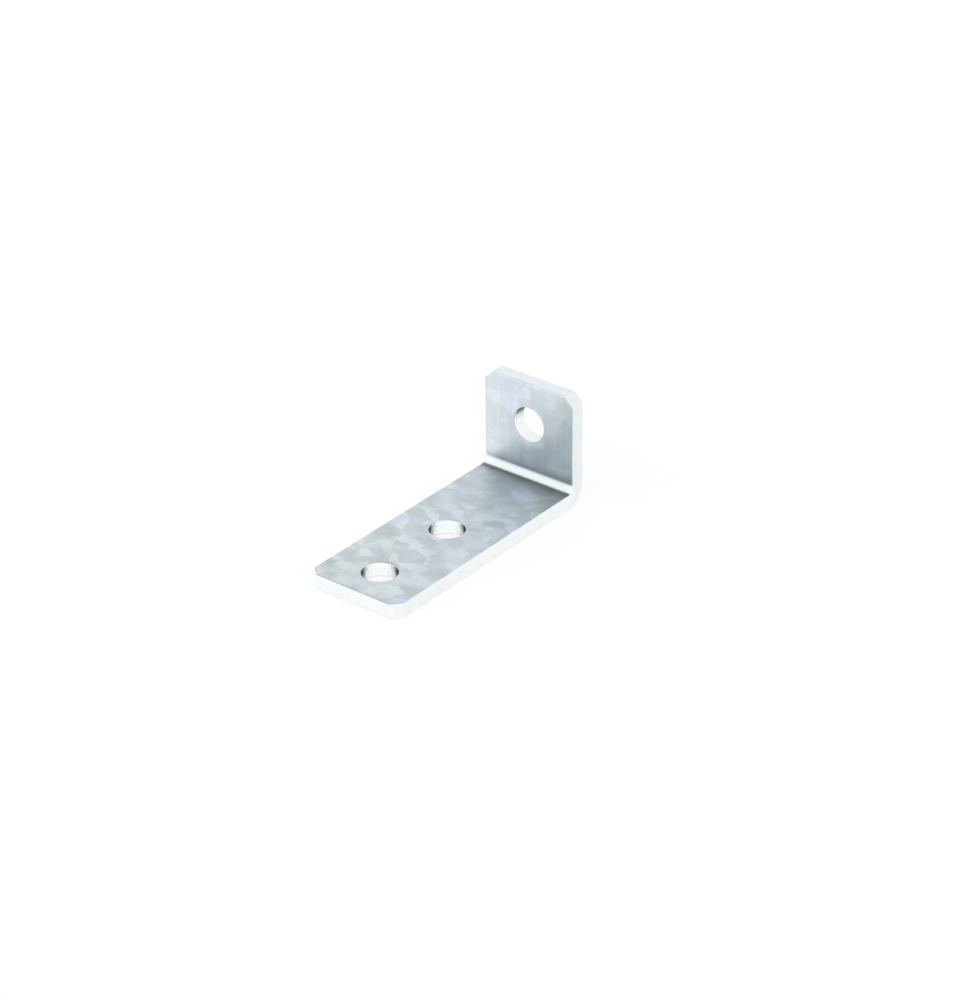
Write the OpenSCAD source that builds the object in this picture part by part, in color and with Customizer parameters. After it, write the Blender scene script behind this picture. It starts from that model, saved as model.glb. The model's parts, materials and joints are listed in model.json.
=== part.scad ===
// Three-hole angle bracket: one flat steel strip, sheared, punched, folded once at a right angle and
// dipped in zinc. The long leg lies flat along X with its free end at -X, and the short leg stands up
// at +X. All sizes are in millimetres. The origin is under the middle of the long leg, on its underside.

/* [Strip] */
// Width of the strip, which is the same on both legs
strip_width = 40; // [24:1:80]
// Thickness of the strip
strip_thickness = 6; // [3:0.5:10]
// Rounding of every edge of the strip, along its sides and round its ends
edge_round = 0.6; // [0.2:0.1:1]

/* [Legs] */
// Long leg, from its free end to the outer face of the upright
base_length = 105; // [80:1:220]
// Upright, from the underside of the long leg to its top end
upright_height = 44; // [38:1:120]
// Length cut off each side of the four free corners, at 45 degrees
corner_cut = 3.5; // [2:0.5:8]

/* [Fold] */
// Inside radius of the fold between the two legs
bend_radius = 2.5; // [1:0.5:8]

/* [Holes] */
// Diameter of the three punched holes, which take 12 mm bolts with room to spare
hole_diameter = 13; // [6:0.5:18]
// Rounding of both rims of each hole
hole_rim_round = 0.5; // [0.2:0.1:1.2]
// Distance from the free end of the long leg to the centre of its first hole
first_hole_inset = 15; // [11:0.5:30]
// Distance between the centres of the two holes in the long leg
hole_pitch = 37; // [20:1:42]
// Height of the hole in the upright above the underside of the long leg
upright_hole_height = 27.5; // [17:0.5:34]

/* [Hidden] */
$fn = 96;
// How far each cutting shape reaches past the surface it cuts
overshoot = 1;
// The cut corners are rounded a little less than the other edges
cut_edge_round = 0.8 * edge_round;
// Straight lengths of the two legs, from their free ends to where the fold begins
base_flat = base_length - strip_thickness - bend_radius;
upright_flat = upright_height - strip_thickness - bend_radius;
// Hole centres, each measured from the free end of its own leg
base_holes = [first_hole_inset, first_hole_inset + hole_pitch];
upright_holes = [upright_height - upright_hole_height];

// What rounding takes off one square edge. The strip fills +X and +Y from that edge.
module waste_corner(radius) {
    difference() {
        translate([-overshoot, -overshoot]) square(overshoot + radius);
        translate([radius, radius]) circle(radius);
    }
}

// The same for both faces of the strip, whose side stands along Y
module waste_corners(radius) {
    for (far = [0, 1]) translate([0, far * strip_thickness]) mirror([0, far]) waste_corner(radius);
}

// Whole section of the strip, with its width along X and its thickness along Y
module strip_section() {
    difference() {
        translate([-strip_width / 2, 0]) square([strip_width, strip_thickness]);
        for (side = [0, 1]) mirror([side, 0]) translate([-strip_width / 2, 0])
            waste_corners(edge_round);
    }
}

// A wide plate of the strip's thickness, which fills +X from one rounded edge along Y. The legs are
// trimmed with it, so that it leaves its own rounded edge on them.
module trimming_plate(reach, radius) {
    translate([0, reach, 0]) rotate([90, 0, 0]) linear_extrude(2 * reach) difference() {
        square([reach, strip_thickness]);
        waste_corners(radius);
    }
}

// Shape of one punched hole: a straight bore that flares out in a round lip at both faces
module punched_hole() {
    bore = hole_diameter / 2;
    rotate_extrude() {
        translate([0, -overshoot]) square([bore, strip_thickness + 2 * overshoot]);
        translate([bore, 0]) waste_corners(hole_rim_round);
    }
}

// One straight leg lying flat, free end at X = 0, running along X to where the fold begins. It is
// trimmed square at its end and then across both free corners.
module leg(flat, holes) {
    difference() {
        intersection() {
            rotate([90, 0, 90]) linear_extrude(flat) strip_section();
            trimming_plate(flat + strip_width, edge_round);
            intersection_for(side = [-1, 1]) translate([0, side * (strip_width / 2 - corner_cut), 0])
                rotate([0, 0, -side * 45]) trimming_plate(flat + strip_width, cut_edge_round);
        }
        for (along = holes) translate([along, 0, 0]) punched_hole();
    }
}

// The quarter turn between the legs, with the strip's own section carried round the fold's axis
module fold() {
    rotate([90, 0, 0]) rotate([0, 0, -90]) rotate_extrude(angle = 90)
        translate([bend_radius + strip_thickness, 0]) rotate([0, 0, 90]) strip_section();
}

// Both legs and the fold as one sheet. The upright is the same leg, mirrored to stand on the fold.
module angle_bracket() {
    color([0.79, 0.82, 0.84]) union() {
        translate([-base_length / 2, 0, 0]) leg(base_flat, base_holes);
        translate([base_flat - base_length / 2, 0, strip_thickness + bend_radius]) fold();
        translate([base_length / 2, 0, upright_height]) mirror([1, 0, 1])
            leg(upright_flat, upright_holes);
    }
}

angle_bracket();
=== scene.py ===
# %% [markdown]
# # A galvanised angle bracket
#
# The object is one flat steel strip. It was sheared to length, its corners were cut off, three bolt
# holes were punched through it, and then it was folded once and dipped in molten zinc. The packed
# model already has the exact solid, so this script only makes its visible skin and finish.
#
# The first cell loads that model. Everything after it is placed by sizes read from the model.

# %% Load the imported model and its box
import json
import math

import bmesh
import bpy
import numpy as np
from mathutils import Matrix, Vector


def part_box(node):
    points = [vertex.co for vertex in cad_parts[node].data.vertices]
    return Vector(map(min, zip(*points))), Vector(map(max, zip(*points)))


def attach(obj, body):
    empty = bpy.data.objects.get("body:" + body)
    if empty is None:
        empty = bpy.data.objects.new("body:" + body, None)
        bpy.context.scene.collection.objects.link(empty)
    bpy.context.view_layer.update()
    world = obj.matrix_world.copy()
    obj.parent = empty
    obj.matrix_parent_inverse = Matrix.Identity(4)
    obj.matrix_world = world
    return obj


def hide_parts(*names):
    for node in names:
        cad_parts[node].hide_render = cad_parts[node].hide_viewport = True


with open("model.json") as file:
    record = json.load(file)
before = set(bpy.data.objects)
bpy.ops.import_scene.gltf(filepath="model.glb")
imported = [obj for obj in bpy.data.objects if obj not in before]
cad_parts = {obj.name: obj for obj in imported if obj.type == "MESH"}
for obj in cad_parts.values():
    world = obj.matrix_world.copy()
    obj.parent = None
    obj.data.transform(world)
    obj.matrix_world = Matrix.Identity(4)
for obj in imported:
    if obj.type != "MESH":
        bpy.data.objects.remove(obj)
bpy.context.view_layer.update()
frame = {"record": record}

NODE = "angle_bracket"
MM = 0.001

# %% [markdown]
# ## Sizes
#
# A folded strip is easiest to describe by the few numbers that a workshop drawing gives: its length,
# its height, its thickness, the holes and the inside radius of the fold. Most of them can be read
# from the model's box and from the interfaces stored beside it, so they are never typed twice. The
# rest are named here, because no interface holds them: the fold's radius, the cut of the corners and
# the small roundings.

# %% Sizes read from the model, and the small ones named here
lo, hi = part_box(NODE)
mounts = {m["name"]: m for m in frame["record"]["mounts"]}

base_length = hi.x - lo.x
strip_width = hi.y - lo.y
upright_height = hi.z - lo.z
thickness = mounts["base_top_face"]["pos_m"][2]
hole_radius = mounts["base_hole_end"]["dims"]["r_mm"] * MM

bend_radius = 2.5 * MM
corner_cut = 3.5 * MM
edge_round = 0.6 * MM
rim_round = 0.5 * MM
# Zinc runs round the points beside each cut corner and softens them
point_round = 0.5 * MM
print("thickness", round(thickness / MM, 3), "mm, hole radius", hole_radius / MM, "mm")

# %% [markdown]
# ## From flat blank to folded strip
#
# The real part is flat until its last step, so its skin is drawn flat as well. A point of the blank
# has three coordinates: how far along the strip it is, how far across, and how high above the
# underside. One formula then folds every point, wherever it lies, so the patches of the skin still
# fit each other after the fold. The other way would be to model the folded shape directly, but then
# each patch needs its own formula for each leg.

# %% The fold as one formula
outer_radius = bend_radius + thickness
base_flat = base_length - outer_radius
fold_span = math.pi / 2 * (bend_radius + thickness / 2)
fold_end = base_flat + fold_span
blank_length = fold_end + upright_height - outer_radius


def fold_blank(blank):
    """Fold an array of blank points (..., 3) into the bracket.

    Along the base a point keeps its place. In the fold it turns about the fold's axis through a
    right angle, at a distance from that axis of the outer radius less its height above the
    underside. Past the fold the rest of its length is added upwards.
    """
    along, across, height = np.moveaxis(blank, -1, 0)
    turned = np.clip((along - base_flat) / fold_span, 0, 1) * math.pi / 2
    reach = outer_radius - height
    x = lo.x + np.minimum(along, base_flat) + reach * np.sin(turned)
    z = lo.z + outer_radius - reach * np.cos(turned) + np.maximum(along - fold_end, 0)
    return np.stack([x, across, z], axis=-1)


# Hole centres along the blank
holes = [mounts[name]["pos_m"][0] - lo.x for name in ("base_hole_end", "base_hole_fold")]
holes.append(fold_end + mounts["upright_hole"]["pos_m"][2] - lo.z - outer_radius)
print("blank", round(blank_length / MM, 2), "mm long, holes at", [round(h / MM, 2) for h in holes])

# %% [markdown]
# ## Outline of the blank
#
# The two faces of the strip stop short of its outline, where the rounding of the edge begins. So
# the path worked out here is the edge of the flat face. It runs down one side, across a cut corner,
# along the end, across the other cut corner and back up the other side. Each point on it also gets
# the direction that points straight out of the strip, because the rounded border is carried along
# this path later.

# %% Outline of one free end
SPACING = 0.75 * MM
POINT_STEPS = 6
half_face = strip_width / 2 - edge_round


def steps_for(length):
    """How many steps of about the usual spacing a length is cut into."""
    return max(1, round(length / SPACING))


def free_end(seam, end, side):
    """Path round a free end, from the seam down the side -Y and back to the seam on the side +Y.

    Straight stretches are evenly spaced points. Each of the four bends of the path is an arc that
    turns through 45 degrees. Its centre lies one arc radius inside both stretches that it joins, and
    it shortens each of them by the radius times the tangent of half the turn. A cut corner is shorter
    on the flat face than on the strip, by the rounding of the edge times 2 less the root of 2.
    side is -1 where the free end is at the start of the blank, and 1 at its far end.
    """
    cut = corner_cut - (2 - math.sqrt(2)) * edge_round
    tip = end - side * edge_round
    corners = np.array([
        [tip - side * cut, -half_face], [tip, cut - half_face],
        [tip, half_face - cut], [tip - side * cut, half_face],
    ])
    stops = np.vstack([[[seam, -half_face]], corners, [[seam, half_face]]])
    headings = np.arctan2(*np.diff(stops, axis=0).T[::-1])
    turn = side * math.radians(45)
    trim = point_round * math.tan(math.radians(45) / 2)
    points, outward = [], []
    for i, heading in enumerate(headings):
        ahead = np.array([math.cos(heading), math.sin(heading)])
        out = np.array([math.sin(heading), -math.cos(heading)]) * side
        start = stops[i] + ahead * trim * (i > 0)
        stop = stops[i + 1] - ahead * trim * (i < len(corners))
        share = np.linspace(0, 1, steps_for(np.linalg.norm(stop - start)) + 1)[:, None]
        points.append(start + (stop - start) * share)
        outward.append(np.tile(out, (len(share), 1)))
        if i < len(corners):
            centre = stop - out * point_round
            angle = math.atan2(out[1], out[0]) + turn * np.linspace(0, 1, POINT_STEPS + 1)[1:-1]
            ray = np.stack([np.cos(angle), np.sin(angle)], axis=-1)
            points.append(centre + ray * point_round)
            outward.append(ray)
    return np.vstack(points), np.vstack(outward)


print("points round the free end of the base:", len(free_end(holes[1], 0.0, -1)[0]))

# %% [markdown]
# ## Patches of the skin
#
# A plate with holes can't be one plain grid, so the face is divided into cells. Each cell has one
# hole at its middle, and a fan of straight lines runs from the hole's rim to the cell's outline.
# Between the cells, and through the fold, a plain grid is enough. Neighbouring patches share their
# edge points exactly, so they can be welded into one closed skin.
#
# All rounded edges come from one section, which is a quarter round, a straight wall and a second
# quarter round. It is carried along the outline for the border, and round a circle for a hole.

# %% Section of a rounded edge
ROUND_STEPS = 7


def edge_section(radius):
    """Points and outward directions of the section: (out, height) for each, from the top face down.

    A quarter round is the sine and cosine of an angle that runs from 0 to 90 degrees.
    """
    angle = np.linspace(0, math.pi / 2, ROUND_STEPS + 1)
    ray = np.stack([np.sin(angle), np.cos(angle)], axis=-1)
    upper = [0, thickness - radius] + radius * ray
    wall = np.linspace(thickness - radius, radius, steps_for(thickness - 2 * radius) + 1)[1:-1]
    middle = np.stack([np.full(len(wall), radius), wall], axis=-1)
    lower = (upper * [1, -1] + [0, thickness])[::-1]
    directions = np.vstack([ray, np.tile([1.0, 0.0], (len(wall), 1)), (ray * [1, -1])[::-1]])
    return np.vstack([upper, middle, lower]), directions


def carried(path, outward, radius):
    """A patch: the section of a rounded edge carried along a path.

    Each point is the path's point, plus the section's reach times the outward direction, at the
    section's height. A patch holds its blank points, their outward directions and its kind of place.
    """
    section, directions = edge_section(radius)
    flat = path[:, None] + section[None, :, :1] * outward[:, None]
    lean = directions[None, :, :1] * outward[:, None]
    height = np.broadcast_to(section[None, :, 1:], flat.shape[:2] + (1,))
    rise = np.broadcast_to(directions[None, :, 1:], flat.shape[:2] + (1,))
    return np.concatenate([flat, height], -1), np.concatenate([lean, rise], -1), "edge"


print("points in the section of a strip edge:", len(edge_section(edge_round)[0]))

# %% [markdown]
# ### Kinds of patch
#
# Three kinds cover the whole strip: a flat grid, a fan round a hole with the hole's lining, and the
# rounded border. Each patch notes where it lies, as a face, an edge, a rim or a bore, because the
# zinc looks different in each place.

# %% Patches of the faces and holes
FAN_STEPS = 20
FAN_GROWTH = 1.25


def both_faces(flat):
    """Two patches of one grid of flat points: on the top face, and on the underside."""
    patches = []
    for height, up in ((thickness, 1.0), (0.0, -1.0)):
        points = np.concatenate([flat, np.full(flat.shape[:2] + (1,), height)], -1)
        patches.append((points, np.broadcast_to([0, 0, up], points.shape), "face"))
    return patches


def across_line(along):
    """Points straight across the strip's face from -Y to +Y."""
    across = np.linspace(-half_face, half_face, steps_for(2 * half_face) + 1)
    return np.stack([np.full(len(across), along), across], axis=-1)


def hole_lining(rim, inward):
    """The section carried round a hole, cut into its upper rim and the bore with its lower rim."""
    points, outward, _ = carried(rim, inward, rim_round)
    below = ROUND_STEPS
    return [
        (points[:, : below + 1], outward[:, : below + 1], "rim"),
        (points[:, below:], outward[:, below:], "bore"),
    ]


def hole_cell(centre, outline):
    """The cell round a hole, as a fan of lines from the rim to a closed outline, and the hole itself.

    A line's start is the rim's point in the direction of its outline point. A share of 0 is the rim
    and 1 the outline. The shares are a power of even steps, so that the rows lie closer at the rim.
    """
    away = outline - [centre, 0]
    ray = away / np.linalg.norm(away, axis=1, keepdims=True)
    rim = [centre, 0] + ray * (hole_radius + rim_round)
    share = np.linspace(0, 1, FAN_STEPS + 1)[None, :, None] ** FAN_GROWTH
    fan = rim[:, None] * (1 - share) + outline[:, None] * share
    return both_faces(fan) + hole_lining(rim, -ray)


def side_line(along, side):
    """The edge of the flat face on one side, as flat points: -Y where side is -1, +Y where it is 1."""
    return np.stack([along, np.full(len(along), side * half_face)], axis=-1)


def rounded_sides(along):
    """The rounded borders of both sides over one stretch of the strip."""
    return [
        carried(side_line(along, side), np.tile([0.0, side], (len(along), 1)), edge_round)
        for side in (-1, 1)
    ]


def plain_stretch(start, stop, rows):
    """A stretch without holes: a grid between two lines across, and its two rounded sides."""
    along = np.linspace(start, stop, rows + 1)
    grid = np.stack([across_line(a) for a in along])
    return both_faces(grid) + rounded_sides(along)


print("points across a face:", len(across_line(0.0)))

# %% [markdown]
# ### Cells of this bracket
#
# The base has a cell at its free end and one round its second hole, then a short plain stretch. The
# fold is a plain stretch too, only finer. The upright is one more free end, since its cell looks the
# same when it is flat. Two seams part them, at equal distances from the second hole.

# %% The whole skin as a list of patches
FOLD_ROWS = 40


def end_cell(centre, seam, end, side):
    """The cell at a free end: its outline is the free end's path, closed by a line across the strip."""
    border, outward = free_end(seam, end, side)
    outline = np.vstack([border, across_line(seam)[::-1]])
    return hole_cell(centre, outline) + [carried(border, outward, edge_round)]


def middle_cell(centre, start, stop):
    """The cell round the middle hole, between two lines across the strip."""
    along = np.linspace(start, stop, steps_for(stop - start) + 1)
    outline = np.vstack([
        across_line(start)[::-1], side_line(along, -1), across_line(stop), side_line(along, 1)[::-1],
    ])
    return hole_cell(centre, outline) + rounded_sides(along)


seam_one = (holes[0] + holes[1]) / 2
seam_two = 2 * holes[1] - seam_one
patches = (
    end_cell(holes[0], seam_one, 0.0, -1)
    + middle_cell(holes[1], seam_one, seam_two)
    + plain_stretch(seam_two, base_flat, steps_for(base_flat - seam_two))
    + plain_stretch(base_flat, fold_end, FOLD_ROWS)
    + end_cell(holes[2], fold_end, blank_length, 1)
)
print(len(patches), "patches,", sum(p[0].shape[0] * p[0].shape[1] for p in patches), "points")

# %% [markdown]
# ## Relief of the zinc
#
# Molten zinc never drains off quite evenly. The coat is a few hundredths of a millimetre thicker in
# some places, which shows as soft waves in the reflections. Where the punch entered, the sheet is
# also drawn down a little round each hole. Both are so shallow that a sum of sines and a smooth dip
# are enough. They only ever go inwards, because the skin must stay inside the model's box.

# %% Push the skin in by the relief
WAVE_DEPTH = 0.035 * MM
WAVE_COUNT = 28
# Shortest and longest wave, in mm
WAVELENGTHS = (5, 19)
DRAWN_DEPTH = 0.10 * MM
DRAWN_REACH = 1.3 * MM
SEED = 7

draw = np.random.default_rng(SEED)
wavelengths = draw.uniform(*WAVELENGTHS, WAVE_COUNT) * MM
wave_headings = draw.normal(size=(WAVE_COUNT, 3))
wave_headings /= np.linalg.norm(wave_headings, axis=1, keepdims=True)
wave_vectors = 2 * math.pi * wave_headings / wavelengths[:, None]
wave_starts = draw.uniform(0, 2 * math.pi, WAVE_COUNT)


def relief(blank, up):
    """How far each blank point is pushed in.

    The waves are a sum of sines over the root of twice their count, which keeps it mostly within -1
    and 1. A quarter of it is taken about the middle of the wave depth. The drawn-down ring round a
    hole falls off as the exponential of less the squared distance from the rim over its reach.
    """
    waves = np.sin(blank @ wave_vectors.T + wave_starts).sum(-1) / math.sqrt(2 * WAVE_COUNT)
    depth = WAVE_DEPTH * np.clip(0.5 + waves / 4, 0, 1)
    for centre in holes:
        past = np.hypot(blank[..., 0] - centre, blank[..., 1]) - hole_radius - rim_round
        depth = depth + DRAWN_DEPTH * np.exp(-((past / DRAWN_REACH) ** 2)) * np.clip(up, 0, 1)
    return depth


def finished(points, outward):
    """Blank points after the relief and the fold."""
    return fold_blank(points - outward * relief(points, outward[..., 2])[..., None])


print("deepest wave and dip together", round((WAVE_DEPTH + DRAWN_DEPTH) / MM, 3), "mm")

# %% [markdown]
# ## What the finish needs to know
#
# The finish differs on the faces, on the cut edges, in the fold and in the bores, and parts of it
# are painted light and shade. A material could work that out from the direction of the surface, but
# the fold has every direction in it. So each vertex carries four numbers: how much it belongs to an
# edge, how much painted highlight it has in the fold and pooled zinc in a hole, how strong the
# painted shade beside the fold is, and how far the strip has turned from base to upright.

# %% Numbers for the finish
# Shares of the fold's turn over which its painted highlight begins and ends, and how far the painted
# shade beside the fold reaches from it, at the side -Y and at the side +Y
FOLD_HIGHLIGHT_START = (0.11, 0.42)
FOLD_HIGHLIGHT_STOP = (0.97, 1.12)
FOLD_SHADE_REACH = (4.4 * MM, 2.6 * MM)
# How strong the painted shade just above the fold is, at the same two sides. Just before the fold it is
# 1.
FOLD_SHADE_ON_UPRIGHT = (0.72, 0.59)
# How far the wall of the upright's hole faces upwards where zinc begins to lie on it, and covers it
RUN_DOWN = (-0.2, 0.6)
# How far a hole's lower rim faces down where it gets hanging zinc, painted near-white over its shade
LOWER_RIM = 0.5


def smooth_step(value, start, stop):
    """0 before start, 1 after stop, and the cubic 3t^2 - 2t^3 of the share t between them."""
    share = np.clip((value - start) / (stop - start), 0, 1)
    return share * share * (3 - 2 * share)


def finish_shares(points, outward, place):
    """The four numbers of the finish for an array of blank points.

    An edge's share is 1 less how level the surface is. The share of pooled zinc and highlight is a
    painted highlight in the fold, where it rises in the first part of the fold's turn and falls at its
    end, on the inner side only. It also rises to 1 in the hole of the upright where its wall faces
    upwards, since zinc ran down to there, and round the lower rim of every hole, where zinc hung as
    drops and is painted near-white over the shade there. The painted shade beside the fold is the
    exponential of less the distance past the fold over the reach at that place across the strip, and
    is less on the upright. The upright's share is the smooth step of the turn.
    """
    turned = (points[..., 0] - base_flat) / fold_span
    inner = np.clip(outward[..., 2], 0, 1)
    past = np.maximum(np.abs(turned - 0.5) - 0.5, 0) * fold_span
    sides = (-half_face, half_face)
    # Painted shade beside the fold: how far it reaches and how strong it is at each place across the
    # strip
    shade_reach = np.interp(points[..., 1], sides, FOLD_SHADE_REACH)
    shade_strength = np.where(turned > 0.5, np.interp(points[..., 1], sides, FOLD_SHADE_ON_UPRIGHT), 1)
    # Painted highlight in the fold, on its inner side
    in_fold = smooth_step(turned, *FOLD_HIGHLIGHT_START) * (1 - smooth_step(turned, *FOLD_HIGHLIGHT_STOP)) * inner
    upright_hole = (turned > 1) * (place in ("rim", "bore")) * (1 - np.abs(outward[..., 2]))
    in_bore = smooth_step(outward[..., 0], *RUN_DOWN) * upright_hole
    at_rim = np.clip(-outward[..., 2] / LOWER_RIM, 0, 1) * (place == "bore")
    return {
        "edge_share": (1 - np.abs(outward[..., 2])) * (place == "edge"),
        "pool_and_highlight_share": np.maximum(in_fold + in_bore, at_rim),
        "fold_shade_share": np.exp(-past / shade_reach) * inner * shade_strength,
        "upright_share": smooth_step(turned, 0, 1),
    }


# The fold's painted highlight is whole between these angles
highlight_degrees = [round(90 * share) for share in (FOLD_HIGHLIGHT_START[1], FOLD_HIGHLIGHT_STOP[0])]
print("the pool is whole between", highlight_degrees, "degrees of the fold")

# %% [markdown]
# ## One mesh
#
# The patches are put into one mesh as grids of four-sided faces. Faces of a bore take the second
# finish and all others the first. The mesh also keeps the place that each vertex had on the flat
# blank, for marks that follow the strip round its fold.

# %% Gather the patches
def grid_faces(rows, columns, first, closed):
    """Corner numbers of every face of a grid. A closed grid joins its last row to its first."""
    row = np.arange(rows if closed else rows - 1)[:, None] * columns
    column = np.arange(columns - 1)[None, :]
    here = (row + column).ravel()
    below = ((row + columns) % (rows * columns) + column).ravel()
    return first + np.stack([here, below, below + 1, here + 1], axis=-1)


def is_ring(points):
    """A grid is closed where its last row lies within two spacings of its first, all the way."""
    gap = np.linalg.norm(points[0] - points[-1], axis=-1).max()
    return gap < 2 * SPACING


vertices, faces, which_finish, blank_places, shares = [], [], [], [], {}
for points, outward, place in patches:
    rows, columns = points.shape[:2]
    first = sum(len(v) for v in vertices)
    vertices.append(finished(points, outward).reshape(-1, 3))
    faces.append(grid_faces(rows, columns, first, is_ring(points)))
    which_finish.append(np.full(len(faces[-1]), place == "bore", np.int32))
    blank_places.append(points.reshape(-1, 3))
    for name, values in finish_shares(points, outward, place).items():
        shares.setdefault(name, []).append(values.ravel())

mesh = bpy.data.meshes.new("bracket_skin")
mesh.from_pydata(np.vstack(vertices), [], np.vstack(faces).tolist())
mesh.polygons.foreach_set("material_index", np.concatenate(which_finish))
for name, values in shares.items():
    attribute = mesh.attributes.new(name, "FLOAT", "POINT")
    attribute.data.foreach_set("value", np.concatenate(values).astype(np.float32))
attribute = mesh.attributes.new("blank_place", "FLOAT_VECTOR", "POINT")
attribute.data.foreach_set("vector", np.vstack(blank_places).astype(np.float32).ravel())
print("attributes:", *shares, "blank_place")

# %% [markdown]
# ### Weld the seams
#
# The shared edge points of two patches coincide to far less than a thousandth of a millimetre, so
# merging close vertices closes the skin. A closed skin has exactly two faces at every edge, which
# the cell counts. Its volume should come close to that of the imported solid.

# %% Weld the patches into one skin
WELD_REACH = 0.002 * MM
SPECK = 0.0005 * MM

welded = bmesh.new()
welded.from_mesh(mesh)
bmesh.ops.remove_doubles(welded, verts=welded.verts, dist=WELD_REACH)
bmesh.ops.dissolve_degenerate(welded, edges=welded.edges, dist=SPECK)
bmesh.ops.recalc_face_normals(welded, faces=welded.faces)
if welded.calc_volume(signed=True) < 0:
    bmesh.ops.reverse_faces(welded, faces=welded.faces)
open_edges = sum(len(e.link_faces) != 2 for e in welded.edges)
print("skin:", len(welded.verts), "vertices,", len(welded.faces), "faces,", open_edges, "open edges,",
      round(welded.calc_volume() / MM**3), "cubic mm")
welded.to_mesh(mesh)
welded.free()
mesh.polygons.foreach_set("use_smooth", np.ones(len(mesh.polygons), bool))

skin = bpy.data.objects.new("bracket_skin", mesh)
bpy.context.scene.collection.objects.link(skin)
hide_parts(NODE)
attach(skin, "root")

# %% [markdown]
# ## The galvanised finish
#
# Zinc freezes into flat crystals, a few millimetres to a centimetre across. Each one is a slightly
# different grey, from lavender to green, and has fine feathers that run in its own direction. The
# pattern could be painted as an image, but a procedural one has no seams and is sharp at any size.
#
# Materials here are graphs of nodes. A few short helpers keep the code that builds them readable:
# one adds a node, and the others are the sums, ramps, mixes and noises that every finish needs.

# %% Helpers for building materials
def add_node(tree, kind, settings=None, **inputs):
    """Add a node, set its options, and set or link its inputs by name or by _number."""
    made = tree.nodes.new(kind)
    for name, value in (settings or {}).items():
        setattr(made, name, value)
    for name, value in inputs.items():
        key = int(name[1:]) if name[0] == "_" else name.replace("_", " ")
        if isinstance(value, bpy.types.NodeSocket):
            tree.links.new(value, made.inputs[key])
        else:
            made.inputs[key].default_value = value
    return made


def ramp(tree, value, start, stop, low=0.0, high=1.0):
    """A number that goes smoothly from low to high while the value goes from start to stop."""
    made = add_node(tree, "ShaderNodeMapRange", {"interpolation_type": "SMOOTHSTEP"}, Value=value,
                    From_Min=start, From_Max=stop, To_Min=low, To_Max=high)
    return made.outputs[0]


def combine(tree, operation, first, second, third=0.0):
    """One arithmetic step on up to three numbers."""
    made = add_node(tree, "ShaderNodeMath", {"operation": operation}, _0=first, _1=second, _2=third)
    return made.outputs[0]


def weighted_sum(tree, parts):
    """The sum of (number, weight) pairs, each number times its weight."""
    total = 0.0
    for number, weight in parts:
        total = combine(tree, "MULTIPLY_ADD", number, weight, total)
    return total


def mix(tree, share, first, second, blend="MIX"):
    """A colour that is the first where the share is 0 and the second where it is 1."""
    made = add_node(tree, "ShaderNodeMix", {"data_type": "RGBA", "blend_type": blend}, _0=share,
                    _6=first, _7=second)
    return made.outputs[2]


def scaled(tree, colour, level):
    """A colour times a level."""
    made = add_node(tree, "ShaderNodeVectorMath", {"operation": "SCALE"}, _0=colour, Scale=level)
    return made.outputs[0]


def noise(tree, place, size, detail=2.0, output=0):
    """Soft random clouds of about one size, as a number or with the output "Color" as a colour."""
    made = add_node(tree, "ShaderNodeTexNoise", Vector=place, Scale=1 / size, Detail=detail)
    return made.outputs[output]


def stretched(tree, place, scale):
    """A place whose axes are scaled, so that a pattern is drawn out along the axes scaled down."""
    return add_node(tree, "ShaderNodeMapping", Vector=place, Scale=scale).outputs[0]


def new_material(name):
    """Give the skin one more material: its node tree, its shader, and the object coordinates."""
    made = bpy.data.materials.new(name)
    made.use_nodes = True
    mesh.materials.append(made)
    tree = made.node_tree
    where = add_node(tree, "ShaderNodeTexCoord").outputs["Object"]
    return tree, tree.nodes["Principled BSDF"], where


def attribute_of(tree, name, output="Fac"):
    """One of the attributes that the skin carries."""
    return add_node(tree, "ShaderNodeAttribute", {"attribute_name": name}).outputs[output]


zinc, zinc_shader, where = new_material("galvanised_zinc")
print("finish:", zinc_shader.name)

# %% [markdown]
# ### Crystals
#
# Voronoi cells make the crystals. Noise bends their borders first, so that no border is straight, and
# smooth cells let neighbours run into each other a little. Three sets overlap: broad ones, smaller
# ones between them, and a few pale or dark flecks. All are a little longer across the strip than
# along it. A crystal's random colour also serves as its random direction: turning the coordinates by
# it makes stretched noise run a different way in every crystal, which gives each its own feathers.

# %% Crystals and their feathers
BEND_OF_BORDERS = 5 * MM
BEND_SIZE = 5 * MM
FLECK_HEADING = math.radians(85)
FEATHER_SIZE = 0.8 * MM
FEATHER_SHAPE = (1.0, 0.16, 0.4)
GRAIN_SIZE = 0.25 * MM

bend = add_node(zinc, "ShaderNodeVectorMath", {"operation": "SUBTRACT"},
                _0=noise(zinc, where, BEND_SIZE, detail=4.0, output="Color"), _1=(0.5, 0.5, 0.5))
bent = add_node(zinc, "ShaderNodeVectorMath", {"operation": "MULTIPLY_ADD"}, _0=bend.outputs[0],
                _1=(BEND_OF_BORDERS,) * 3, _2=where).outputs[0]


def crystals(size, stretch, turn, softness):
    """Random colours in cells of about one size, stretched along turned axes."""
    turned = add_node(zinc, "ShaderNodeMapping", {"vector_type": "TEXTURE"}, Vector=bent, Rotation=turn,
                      Scale=stretch)
    cells = add_node(zinc, "ShaderNodeTexVoronoi", {"feature": "SMOOTH_F1"}, Vector=turned.outputs[0],
                     Scale=1 / size, Smoothness=softness)
    return cells.outputs["Color"]


def channels(colour):
    """The three random numbers in a cell's random colour."""
    return add_node(zinc, "ShaderNodeSeparateColor", _0=colour).outputs


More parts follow.
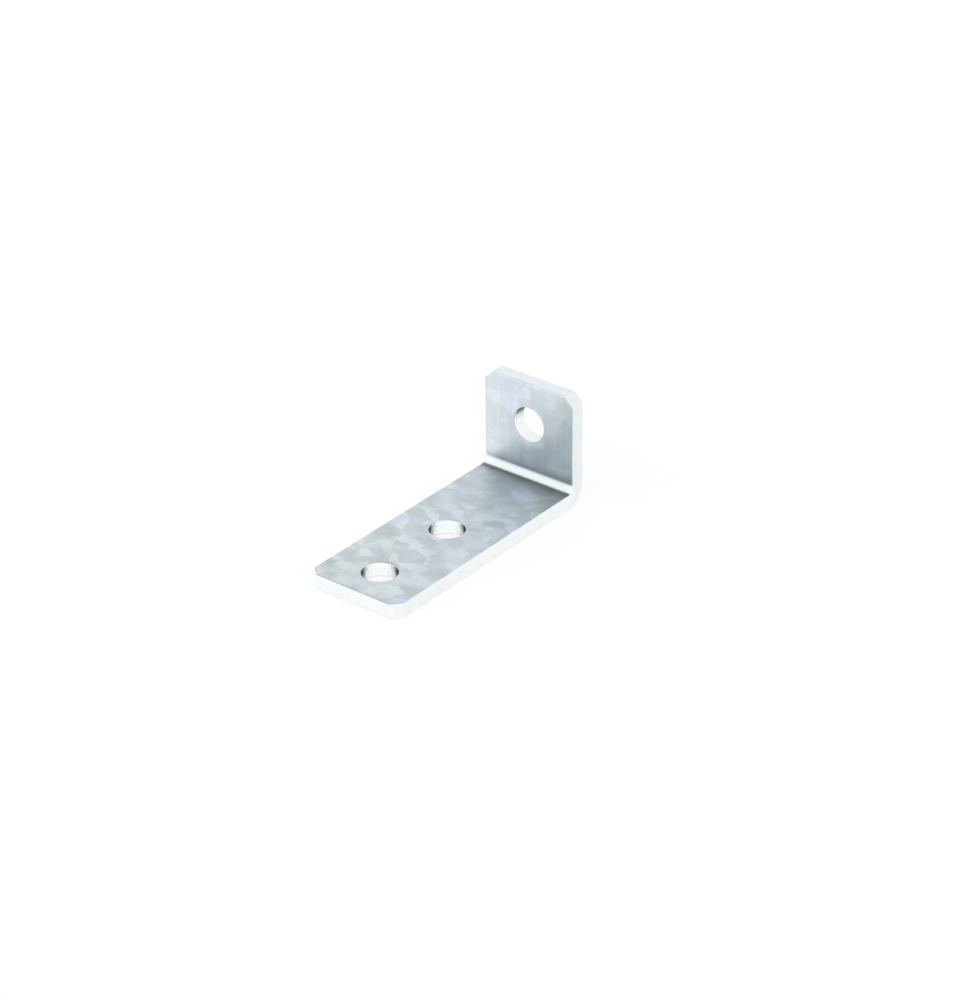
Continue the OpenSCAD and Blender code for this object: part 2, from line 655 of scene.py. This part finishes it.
broad_colour = crystals(size=7.2 * MM, stretch=(1.0, 1.25, 1.1), turn=(0.2, 0.1, 0.1), softness=0.46)
small_colour = crystals(size=4.2 * MM, stretch=(1.0, 1.3, 1.1), turn=(0.1, 0.3, -0.1), softness=0.44)
fleck_colour = crystals(size=4 * MM, stretch=(1.3, 1.0, 1.0), turn=(0, 0, FLECK_HEADING), softness=0.32)
broad, small, flecks = channels(broad_colour), channels(small_colour), channels(fleck_colour)

own_way = add_node(zinc, "ShaderNodeVectorRotate", {"rotation_type": "EULER_XYZ"}, Vector=bent,
                   Rotation=scaled(zinc, broad_colour, 2 * math.pi)).outputs[0]
feathers = noise(zinc, stretched(zinc, own_way, FEATHER_SHAPE), FEATHER_SIZE, detail=3.0)
grain = noise(zinc, where, GRAIN_SIZE)
print("crystal nodes:", len(zinc.nodes))

# %% [markdown]
# ### Grey of the two faces
#
# The random numbers are added up to one brightness, which picks a grey between a darker green one
# and a paler lavender one. The zinc drained from the upright, so its crystals are more even than on
# the base, with faint streaks where it ran down. Further on, the upright's grey is also painted
# lighter, which is painted light on its faces.

# %% Colour of the faces
DARK_ZINC = (0.525, 0.585, 0.615, 1)
PALE_ZINC = (0.725, 0.775, 0.825, 1)
GREEN_TINT = (0.985, 1.001, 0.965, 1)
LAVENDER_TINT = (0.993, 0.993, 1.03, 1)
# How much each pattern adds to the brightness of the patchwork
SMALL_PART = 0.23
BROAD_PART = 0.37
FEATHER_PART = 0.20
PALE_FLECK_PART = 0.29
DARK_FLECK_PART = -0.08
STREAK_PART = 0.45
# Random numbers between which a fleck begins to show and is whole
PALE_FLECKS = (0.66, 0.84)
DARK_FLECKS = (0.80, 0.92)
# Brightness of the darkest and the palest grey, and the same for the tints
GREY_LIMITS = (0.10, 0.88)
TINT_LIMITS = (0.3, 1.2)
# Middle of the patchwork's brightness, and how much of its contrast is left on the upright
MIDDLE_GREY = 0.48
CONTRAST_OF_UPRIGHT = 0.42
STREAK_SIZE = 2.2 * MM
STREAK_SHAPE = (0.08, 1.0, 1.0)

patchwork = weighted_sum(zinc, [
    (small[0], SMALL_PART), (broad[0], BROAD_PART), (feathers, FEATHER_PART),
    (ramp(zinc, flecks[0], *PALE_FLECKS), PALE_FLECK_PART),
    (ramp(zinc, flecks[1], *DARK_FLECKS), DARK_FLECK_PART),
])

blank_place = attribute_of(zinc, "blank_place", "Vector")
upright = attribute_of(zinc, "upright_share")
streaks = noise(zinc, stretched(zinc, blank_place, STREAK_SHAPE), STREAK_SIZE)
streak_share = combine(zinc, "MULTIPLY", combine(zinc, "SUBTRACT", streaks, 0.5), upright)
contrast = ramp(zinc, upright, 0, 1, 1.0, CONTRAST_OF_UPRIGHT)
patchwork = combine(zinc, "MULTIPLY_ADD", combine(zinc, "SUBTRACT", patchwork, MIDDLE_GREY), contrast,
                    MIDDLE_GREY)
patchwork = combine(zinc, "MULTIPLY_ADD", streak_share, STREAK_PART, patchwork)

grey = mix(zinc, ramp(zinc, patchwork, *GREY_LIMITS), DARK_ZINC, PALE_ZINC)
tint_number = combine(zinc, "MULTIPLY_ADD", small[2], 0.5, broad[2])
tint = mix(zinc, ramp(zinc, tint_number, *TINT_LIMITS), GREEN_TINT, LAVENDER_TINT)
face_colour = mix(zinc, 1.0, grey, tint, "MULTIPLY")
print("greys of the faces run from", DARK_ZINC[:3], "to", PALE_ZINC[:3])

# %% [markdown]
# ### Fold and cut edges
#
# The fold gets a painted highlight: a pale, matt band of near-white colour, with painted shade on
# both sides of it. The sheared edges are painted light, much whiter than the faces and the upright's
# less than the base's, over the faint lines that the shear left across the thickness. The upright's
# faces are painted lighter too.

# %% Colour of the fold and the edges
# Near-white colour painted in the fold as its highlight, also used for pooled zinc in the upright's hole
POOL_AND_HIGHLIGHT_COLOUR = (0.95, 1.0, 1.0, 1)
# Painted light on the cut edges, of the base and of the upright; the upright's is a little darker
EDGE_LIGHT_OF_BASE = (0.87, 0.895, 0.905, 1)
EDGE_LIGHT_OF_UPRIGHT = (0.79, 0.835, 0.85, 1)
# Darkest painted shade beside the fold, as a share of the face's grey
FOLD_SHADE_DARKEST = 0.33
# Painted light on the upright's faces, which makes their grey lighter
UPRIGHT_PAINTED_LIGHT = 1.17
# Edge shares between which the edge's zinc begins and is whole
EDGE_BAND = (0.05, 0.6)
# Lowest level of the edges' painted light, and how much clouds and shear lines add to it
EDGE_LEVEL = 0.89
EDGE_CLOUDS = 0.12
EDGE_LINES = 0.10
POOL_AND_HIGHLIGHT_LEVEL = 0.975
POOL_AND_HIGHLIGHT_CLOUDS = 0.04
CLOUD_SIZE = 4 * MM
SHEAR_LINE_SIZE = 0.5 * MM
SHEAR_LINE_SHAPE = (1.0, 1.0, 0.08)

shear_lines = noise(zinc, stretched(zinc, blank_place, SHEAR_LINE_SHAPE), SHEAR_LINE_SIZE, detail=3.0)
clouds = noise(zinc, where, CLOUD_SIZE, detail=3.0)
edge = ramp(zinc, attribute_of(zinc, "edge_share"), *EDGE_BAND)
pool_and_highlight = attribute_of(zinc, "pool_and_highlight_share")

# The faces' grey is painted lighter on the upright and darker beside the fold
painted_face_level = combine(zinc, "MULTIPLY", ramp(zinc, upright, 0, 1, 1.0, UPRIGHT_PAINTED_LIGHT),
                     ramp(zinc, attribute_of(zinc, "fold_shade_share"), 0, 1, 1.0, FOLD_SHADE_DARKEST))
edge_level = combine(zinc, "MULTIPLY_ADD", clouds, EDGE_CLOUDS,
                     combine(zinc, "MULTIPLY_ADD", shear_lines, EDGE_LINES, EDGE_LEVEL))
pool_and_highlight_level = combine(zinc, "MULTIPLY_ADD", clouds, POOL_AND_HIGHLIGHT_CLOUDS, POOL_AND_HIGHLIGHT_LEVEL)
edge_colour = mix(zinc, upright, EDGE_LIGHT_OF_BASE, EDGE_LIGHT_OF_UPRIGHT)
with_edges = mix(zinc, edge, scaled(zinc, face_colour, painted_face_level), scaled(zinc, edge_colour, edge_level))
# Painted highlight in the fold, and pooled zinc in the upright's hole
whole_colour = mix(zinc, pool_and_highlight, with_edges, scaled(zinc, POOL_AND_HIGHLIGHT_COLOUR[:3], pool_and_highlight_level))
zinc.links.new(whole_colour, zinc_shader.inputs["Base Color"])
# The painted shade beside the fold at its darkest
print("dullest zinc beside the fold:", FOLD_SHADE_DARKEST, "of the face's grey")

# %% [markdown]
# ### Gloss and fine relief
#
# Each small crystal has its own roughness, so the crystals catch the light differently as the part
# is turned. The edges and the fold are made less metal and rougher, so that their painted light shows
# as matt colour rather than as a reflection. The relief of feathers and shear lines is too fine for
# geometry.

# %% Gloss and relief
EDGE_METAL = 0.35
POOL_AND_HIGHLIGHT_METAL = 0.05
FACE_ROUGHNESS = (0.34, 0.44)
EDGE_ROUGHNESS = 0.45
# Shares of feathers and grain in the fine relief, and its depth and strength
FEATHER_RELIEF = 0.7
GRAIN_RELIEF = 0.3
FINE_DEPTH = 0.02 * MM
FINE_STRENGTH = 0.35


def blend_numbers(share, first, second):
    """A number that is the first where the share is 0 and the second where it is 1."""
    made = add_node(zinc, "ShaderNodeMix", {"data_type": "FLOAT"}, _0=share, _2=first, _3=second)
    return made.outputs[0]


# The edges and the fold are made less metal, so that their painted light shows as matt colour
metal = blend_numbers(pool_and_highlight, blend_numbers(edge, 1.0, EDGE_METAL), POOL_AND_HIGHLIGHT_METAL)
matt_edges_and_fold = combine(zinc, "MAXIMUM", edge, pool_and_highlight)
roughness = blend_numbers(matt_edges_and_fold, ramp(zinc, small[1], 0, 1, *FACE_ROUGHNESS), EDGE_ROUGHNESS)
face_height = weighted_sum(zinc, [(grain, GRAIN_RELIEF), (feathers, FEATHER_RELIEF)])
fine_height = blend_numbers(edge, face_height, shear_lines)
fine_bump = add_node(zinc, "ShaderNodeBump", Strength=FINE_STRENGTH, Distance=FINE_DEPTH,
                     Height=fine_height)
zinc.links.new(metal, zinc_shader.inputs["Metallic"])
zinc.links.new(roughness, zinc_shader.inputs["Roughness"])
zinc.links.new(fine_bump.outputs[0], zinc_shader.inputs["Normal"])
print("finish of the faces and edges:", len(zinc.nodes), "nodes")

# %% [markdown]
# ### Bores
#
# The punch rubs the wall of a hole smooth and leaves fine lines along its stroke, so the zinc on it
# is bright. Lower down the wall is torn, in tiny steps that all lean outwards. The bump adds them as
# a slope, which is less in the upright, where zinc ran down over them. Seen head on, the wall shows
# the white table. Towards both sides of a hole it is seen at a glancing angle, and light has to
# bounce along it several times, so it goes dark there. A metal's specular tint is its reflection at
# a glancing angle, and black there gives the dark crescents. Pooled zinc covers the bottom of the
# bore in the upright, lines and all. The lower rim of every hole is near-white matt zinc too, which
# is painted light over the shade line at the foot of the hole.

# %% Finish of the bores
BORE_COLOURS = (0.945, 0.98, 0.985, 1), (0.98, 1.0, 1.0, 1)
BORE_ROUGHNESS = (0.16, 0.26)
BORE_CLOUD_SIZE = 2 * MM
BORE_CLOUDS = (0.2, 0.8)
PUNCH_LINE_DEPTH = 0.12 * MM
PUNCH_LINE_SIZE = 0.5 * MM
PUNCH_LINE_SHAPE = (1.0, 1.0, 0.12)
# How much the torn wall leans, widening downwards: in the base, and in the upright
TORN_LEAN = (0.27, 0.08)

bore, bore_shader, bore_where = new_material("bore_zinc")
bore_shader.inputs["Specular Tint"].default_value = (0.0, 0.0, 0.0, 1)
bore_place = attribute_of(bore, "blank_place", "Vector")
punch_lines = noise(bore, stretched(bore, bore_place, PUNCH_LINE_SHAPE), PUNCH_LINE_SIZE)
bore_clouds = noise(bore, bore_where, BORE_CLOUD_SIZE, detail=3.0)
# Pooled zinc is near-white and matt; on the lower rims it is painted light over their shade
bore_metal = ramp(bore, attribute_of(bore, "pool_and_highlight_share"), 0, 1, 1.0, POOL_AND_HIGHLIGHT_METAL)
height_in_bore = add_node(bore, "ShaderNodeSeparateXYZ", Vector=bore_place).outputs["Z"]
lean_in_base, lean_in_upright = (slope / PUNCH_LINE_DEPTH for slope in TORN_LEAN)
lean = ramp(bore, attribute_of(bore, "upright_share"), 0, 1, lean_in_base, lean_in_upright)
torn_height = combine(bore, "MULTIPLY", height_in_bore, lean)
bore_bump = add_node(bore, "ShaderNodeBump", Strength=bore_metal, Distance=PUNCH_LINE_DEPTH,
                     Height=combine(bore, "ADD", torn_height, punch_lines))
bore.links.new(bore_metal, bore_shader.inputs["Metallic"])
bore.links.new(mix(bore, bore_clouds, *BORE_COLOURS), bore_shader.inputs["Base Color"])
bore_roughness = ramp(bore, bore_clouds, *BORE_CLOUDS, *BORE_ROUGHNESS)
bore.links.new(bore_roughness, bore_shader.inputs["Roughness"])
bore.links.new(bore_bump.outputs[0], bore_shader.inputs["Normal"])
print("finish of the bores:", len(bore.nodes), "nodes")

# %% [markdown]
# ## Floor
#
# Metal shows what is round it, so a bracket on a white table needs the table in its reflections. The
# floor glows plain white to every reflected ray. To the camera it is mostly that white too, and the
# rest is an ordinary matt surface, which is what keeps the soft shadow under the bracket.

# %% White floor
FLOOR_REACH = 3.0
MATT_WHITE = (0.97, 0.97, 0.97, 1)
MATT_ROUGHNESS = 0.9
WHITE_SEEN = 0.78

floor_corners = [(-FLOOR_REACH, -FLOOR_REACH, 0), (FLOOR_REACH, -FLOOR_REACH, 0),
                 (FLOOR_REACH, FLOOR_REACH, 0), (-FLOOR_REACH, FLOOR_REACH, 0)]
floor_mesh = bpy.data.meshes.new("floor")
floor_mesh.from_pydata(floor_corners, [], [(0, 1, 2, 3)])
floor = bpy.data.objects.new("floor", floor_mesh)
bpy.context.scene.collection.objects.link(floor)

white_floor = bpy.data.materials.new("white_floor")
white_floor.use_nodes = True
floor_mesh.materials.append(white_floor)
table = white_floor.node_tree
matt = table.nodes["Principled BSDF"]
matt.inputs["Base Color"].default_value = MATT_WHITE
matt.inputs["Roughness"].default_value = MATT_ROUGHNESS
matt.inputs["Specular IOR Level"].default_value = 0.0
white = add_node(table, "ShaderNodeEmission", Color=(1, 1, 1, 1), Strength=1.0)
ray = add_node(table, "ShaderNodeLightPath")
reflected = combine(table, "MAXIMUM", ray.outputs["Is Glossy Ray"], ray.outputs["Is Transmission Ray"])
white_share = combine(table, "MAXIMUM", reflected,
                      combine(table, "MULTIPLY", ray.outputs["Is Camera Ray"], WHITE_SEEN))
floor_shader = add_node(table, "ShaderNodeMixShader", _0=white_share, _1=matt.outputs[0],
                        _2=white.outputs[0])
table.links.new(floor_shader.outputs[0], table.nodes["Material Output"].inputs["Surface"])
print("floor", 2 * FLOOR_REACH, "m across")

# %% [markdown]
# ## Room and lamps
#
# The room is plain white all round, at the strength at which a colour renders as it is written. Only
# what the metal reflects from high up behind the free end is darker, as a grey card there would
# make it. That card is what the two faces beside the fold show, and they show it in each other too.

# %% White room with a grey side
GREY_SIDE = np.array([-0.45, 0.45, 0.77])
GREY_REACH = (0.80, 1.0)
GREY_LEVEL = 0.2

world = bpy.data.worlds.new("white_room")
bpy.context.scene.world = world
world.use_nodes = True
room = world.node_tree
room.nodes["Background"].inputs["Color"].default_value = (1, 1, 1, 1)
toward_grey = add_node(room, "ShaderNodeVectorMath", {"operation": "DOT_PRODUCT"},
                       _0=add_node(room, "ShaderNodeTexCoord").outputs["Generated"],
                       _1=tuple(GREY_SIDE / np.linalg.norm(GREY_SIDE)))
grey_share = ramp(room, toward_grey.outputs["Value"], *GREY_REACH, 0.0, 1 - GREY_LEVEL)
in_reflections = add_node(room, "ShaderNodeLightPath").outputs["Is Glossy Ray"]
room_level = combine(room, "SUBTRACT", 1.0, combine(room, "MULTIPLY", grey_share, in_reflections))
room.links.new(room_level, room.nodes["Background"].inputs["Strength"])
print("grey side", round(math.degrees(2 * math.acos(GREY_REACH[0]))), "degrees across")

# %% [markdown]
# ### Two soft lamps
#
# A low strip picks out the round of the fold, and a large softbox in front of the long side lifts
# the cut edges. Area lamps are used because small ones would put sharp spots on the metal. The
# power is worked out from the area, so a lamp keeps its brightness when its size is changed.

# %% Soft lamps
def soft_lamp(name, toward, distance, width, height, level):
    """A flat area lamp in a direction from the bracket, facing it. A level of 1 looks plain white."""
    data = bpy.data.lights.new(name, "AREA")
    data.shape, data.size, data.size_y = "RECTANGLE", width, height
    data.energy = level * math.pi * width * height
    lamp = bpy.data.objects.new(name, data)
    lamp.location = np.array(toward) / np.linalg.norm(toward) * distance
    lamp.rotation_euler = lamp.location.to_track_quat("Z", "Y").to_euler()
    bpy.context.scene.collection.objects.link(lamp)
    print(name, "gives", round(data.energy, 2), "W")


soft_lamp("low_strip", (-0.70, 0.70, 0.19), distance=0.7, width=0.5, height=0.16, level=2.15)
soft_lamp("front_softbox", (-0.40, -0.85, 0.36), distance=1.6, width=1.4, height=1.0, level=0.5)

# %% [markdown]
# ## Camera
#
# The camera stands where the photograph was taken from: beyond the free end, on the side -Y, and about
# 30 degrees above the floor. It is far away with a long lens, which is why the parallel edges of the
# strip stay almost parallel in the picture.

# %% Camera at the photograph's angle
CAMERA_AZIMUTH = math.radians(-51.398)
CAMERA_ELEVATION = math.radians(29.590)
CAMERA_ROLL = math.radians(-0.624)
CAMERA_DISTANCE = 1149.75 * MM
CAMERA_AIM = np.array([20.323, -2.127, 8.879]) * MM
LENS = 116.217
SENSOR_WIDTH = 36.0

back = np.array([
    math.sin(CAMERA_AZIMUTH) * math.cos(CAMERA_ELEVATION),
    -math.cos(CAMERA_AZIMUTH) * math.cos(CAMERA_ELEVATION),
    math.sin(CAMERA_ELEVATION),
])
level_right = np.cross(-back, [0, 0, 1])
level_right /= np.linalg.norm(level_right)
level_up = np.cross(level_right, -back)
right = level_right * math.cos(CAMERA_ROLL) + level_up * math.sin(CAMERA_ROLL)
up = level_up * math.cos(CAMERA_ROLL) - level_right * math.sin(CAMERA_ROLL)

camera_data = bpy.data.cameras.new("camera")
camera_data.lens = LENS
camera_data.sensor_width = SENSOR_WIDTH
camera = bpy.data.objects.new("camera", camera_data)
bpy.context.scene.collection.objects.link(camera)
place = np.eye(4)
place[:3, 0], place[:3, 1], place[:3, 2] = right, up, back
place[:3, 3] = CAMERA_AIM + back * CAMERA_DISTANCE
camera.matrix_world = Matrix(place.tolist())
bpy.context.scene.camera = camera
bpy.context.scene.view_settings.view_transform = "Standard"
print("camera at", [round(v / MM) for v in place[:3, 3]], "mm")
